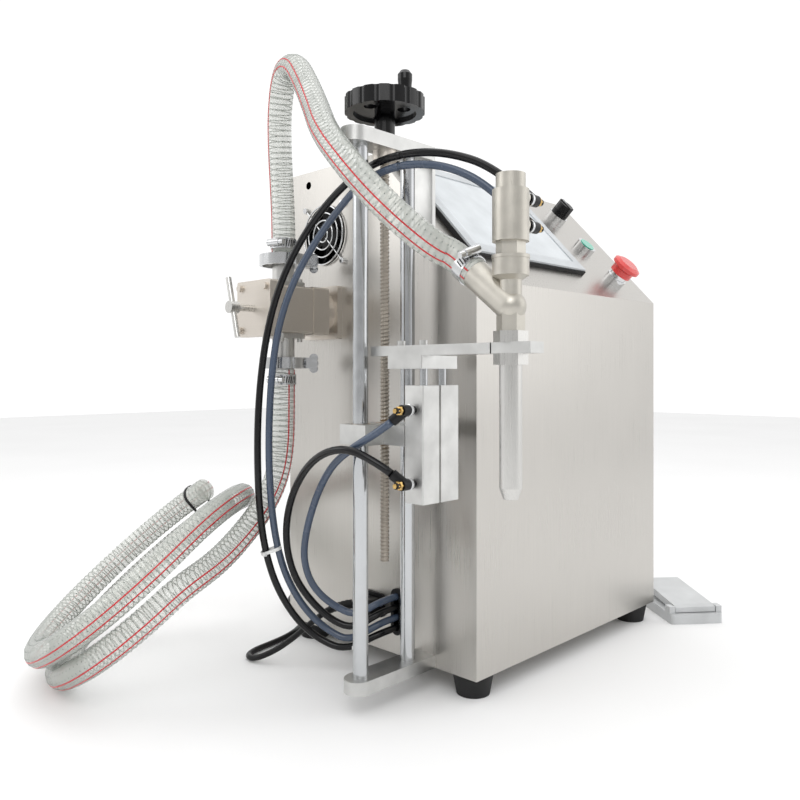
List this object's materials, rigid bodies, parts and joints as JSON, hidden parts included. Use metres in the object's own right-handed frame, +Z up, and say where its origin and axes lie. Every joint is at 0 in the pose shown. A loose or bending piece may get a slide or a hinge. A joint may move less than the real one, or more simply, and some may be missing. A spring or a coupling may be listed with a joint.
{
  "type": "piston liquid filler",
  "caption": "Bench-top liquid filler: stainless cabinet with sloped panel, side pump and hoses, and a handwheel column that raises a diving nozzle over the bottle.",
  "frame": {"origin": "centre of the front-left foot's sole, on the table", "axes": "+X to the machine's right, +Y from its front to its back, +Z up"},
  "size_m": [0.84, 0.6075, 0.7156],
  "materials": {
    "stainless_cabinet": "vertical fine brushing",
    "polished_steel": "ground and polished rod",
    "screw_steel": "rolled thread, lightly oiled",
    "machined_aluminium": "clear anodised",
    "cylinder_aluminium": "white anodised extrusion",
    "bush_bronze": "turned bronze",
    "bakelite": "moulded phenolic",
    "stainless_tube": "turned and polished",
    "cast_stainless": "bead-blasted casting",
    "elbow_plastic": "black push-in fittings",
    "fan_plastic": "moulded",
    "chrome_wire": "chromed wire",
    "pump_stainless": "machined and satin",
    "clamp_steel": "electropolished",
    "motor_black": "satin paint",
    "electrics_grey": "sheet cases",
    "inlet_black": "moulded",
    "panel_white": "moulded frame",
    "screen_glass": "glossy touch screen",
    "button_chrome": "chromed bezel",
    "knob_black": "moulded",
    "button_green": "moulded",
    "estop_red": "moulded",
    "pedal_grey": "light grey enamel",
    "foot_rubber": "moulded rubber",
    "hose_pvc": "clear PVC with a steel spiral and red lines",
    "tube_nylon": "polyurethane air tube",
    "cord_rubber": "round mains cord"
  },
  "bodies": {
    "cabinet": {"cabinet_shell": "stainless_cabinet", "base_pan": "stainless_cabinet", "feet": "foot_rubber", "guide_column_left": "polished_steel", "guide_column_right": "polished_steel", "column_top_plate": "machined_aluminium", "column_foot_plate": "machined_aluminium", "column_side_bar": "machined_aluminium", "screw_bearing": "bush_bronze", "fan_frame": "fan_plastic", "fan_guard": "chrome_wire", "pump_mount_plate": "pump_stainless", "pump_end_cover": "pump_stainless", "pump_housing": "pump_stainless", "pump_front_plate": "pump_stainless", "pump_ports": "stainless_tube", "tri_clamp_high": "clamp_steel", "tri_clamp_low": "clamp_steel", "pump_hose_clamps": "clamp_steel", "servo_motor": "motor_black", "cabinet_electrics": "electrics_grey", "side_inlets": "inlet_black", "hmi_bezel": "panel_white", "hmi_screen": "screen_glass", "button_housings": "button_chrome", "pedal_base": "pedal_grey", "discharge_hose": "hose_pvc", "air_tubes_nozzle": "tube_nylon", "air_tubes_cylinder": "tube_nylon", "suction_hose": "hose_pvc", "suction_hose_loops": "hose_pvc", "power_cord": "cord_rubber", "power_cord_coil": "cord_rubber", "cord_connectors": "inlet_black"},
    "wheel": {"lead_screw": "screw_steel", "handwheel": "bakelite"},
    "grip": {"wheel_handle": "bakelite"},
    "lift": {"carriage": "machined_aluminium", "carriage_bushes": "bush_bronze", "cylinder_body": "cylinder_aluminium", "cylinder_fittings": "elbow_plastic"},
    "head": {"cylinder_rods": "polished_steel", "cylinder_end_plate": "machined_aluminium", "nozzle_arm": "machined_aluminium", "nozzle_tube": "stainless_tube", "valve_body": "cast_stainless", "valve_actuator": "cast_stainless", "actuator_fittings": "elbow_plastic", "nozzle_hose_clamp": "clamp_steel"},
    "stem": {"valve_stem": "stainless_tube"},
    "fan": {"fan_rotor": "fan_plastic"},
    "drive_rotor": {"pump_rotor_drive": "pump_stainless"},
    "idler_rotor": {"pump_rotor_idler": "pump_stainless"},
    "cover_screw": {"pump_t_handle": "polished_steel"},
    "wing_high": {"wing_nut_high": "clamp_steel"},
    "wing_low": {"wing_nut_low": "clamp_steel"},
    "selector": {"selector_knob": "knob_black"},
    "start": {"start_button_cap": "button_green"},
    "estop": {"estop_head": "estop_red"},
    "treadle": {"pedal_treadle": "pedal_grey"}
  },
  "joints": [
    {"name": "wheel_turn", "type": "hinge", "parent": "cabinet", "child": "wheel", "pos_m": [-0.088, 0.049, 0.585], "axis": [0, 0, 1], "range_deg": [-10800, 10350]},
    {"name": "grip_spin", "type": "hinge", "parent": "wheel", "child": "grip", "pos_m": [-0.057, 0.049, 0.645], "axis": [0, 0, 1], "continuous": true},
    {"name": "lift_slide", "type": "slide", "parent": "cabinet", "child": "lift", "axis": [0, 0, 1], "range_m": [-0.115, 0.12], "deforming": ["discharge_hose", "air_tubes_nozzle", "air_tubes_cylinder"]},
    {"name": "nozzle_dive", "type": "slide", "parent": "lift", "child": "head", "axis": [0, 0, 1], "range_m": [0, 0.05]},
    {"name": "stem_lift", "type": "slide", "parent": "head", "child": "stem", "axis": [0, 0, 1], "range_m": [0, 0.006]},
    {"name": "fan_spin", "type": "hinge", "parent": "cabinet", "child": "fan", "pos_m": [-0.024, 0.222, 0.526], "axis": [1, 0, 0], "continuous": true},
    {"name": "pump_drive_spin", "type": "hinge", "parent": "cabinet", "child": "drive_rotor", "pos_m": [-0.064, 0.222, 0.415], "axis": [1, 0, 0], "continuous": true},
    {"name": "pump_idler_spin", "type": "hinge", "parent": "cabinet", "child": "idler_rotor", "pos_m": [-0.064, 0.222, 0.437], "axis": [1, 0, 0], "continuous": true},
    {"name": "cover_screw_turn", "type": "hinge", "parent": "cabinet", "child": "cover_screw", "pos_m": [-0.124, 0.222, 0.426], "axis": [1, 0, 0], "continuous": true},
    {"name": "wing_high_turn", "type": "hinge", "parent": "cabinet", "child": "wing_high", "pos_m": [-0.06297, 0.19822, 0.4865], "axis": [0.6606, 0.7507, 0], "continuous": true},
    {"name": "wing_low_turn", "type": "hinge", "parent": "cabinet", "child": "wing_low", "pos_m": [-0.06297, 0.19822, 0.3625], "axis": [0.6606, 0.7507, 0], "continuous": true},
    {"name": "selector_turn", "type": "hinge", "parent": "cabinet", "child": "selector", "pos_m": [0.307, 0.09004, 0.57885], "axis": [0, -0.7293, 0.6842], "range_deg": [-60, 0]},
    {"name": "start_press", "type": "slide", "parent": "cabinet", "child": "start", "axis": [0, 0.7293, -0.6842], "range_m": [0, 0.004], "stiffness_N_per_m": 400, "springref_m": -0.002},
    {"name": "estop_press", "type": "slide", "parent": "cabinet", "child": "estop", "axis": [0, 0.7293, -0.6842], "range_m": [0, 0.006]},
    {"name": "pedal_press", "type": "hinge", "parent": "cabinet", "child": "treadle", "pos_m": [0.4065, -0.07054, 0.016], "axis": [0.766, -0.6428, 0], "range_deg": [-3.13, 0], "stiffness_Nm_per_rad": 12, "springref_deg": 4.58}
  ],
  "couplings": [
    {"joint": "lift_slide", "follows": "wheel_turn", "m_per_rad": -0.00063662},
    {"joint": "pump_idler_spin", "follows": "pump_drive_spin", "ratio": -1}
  ]
}
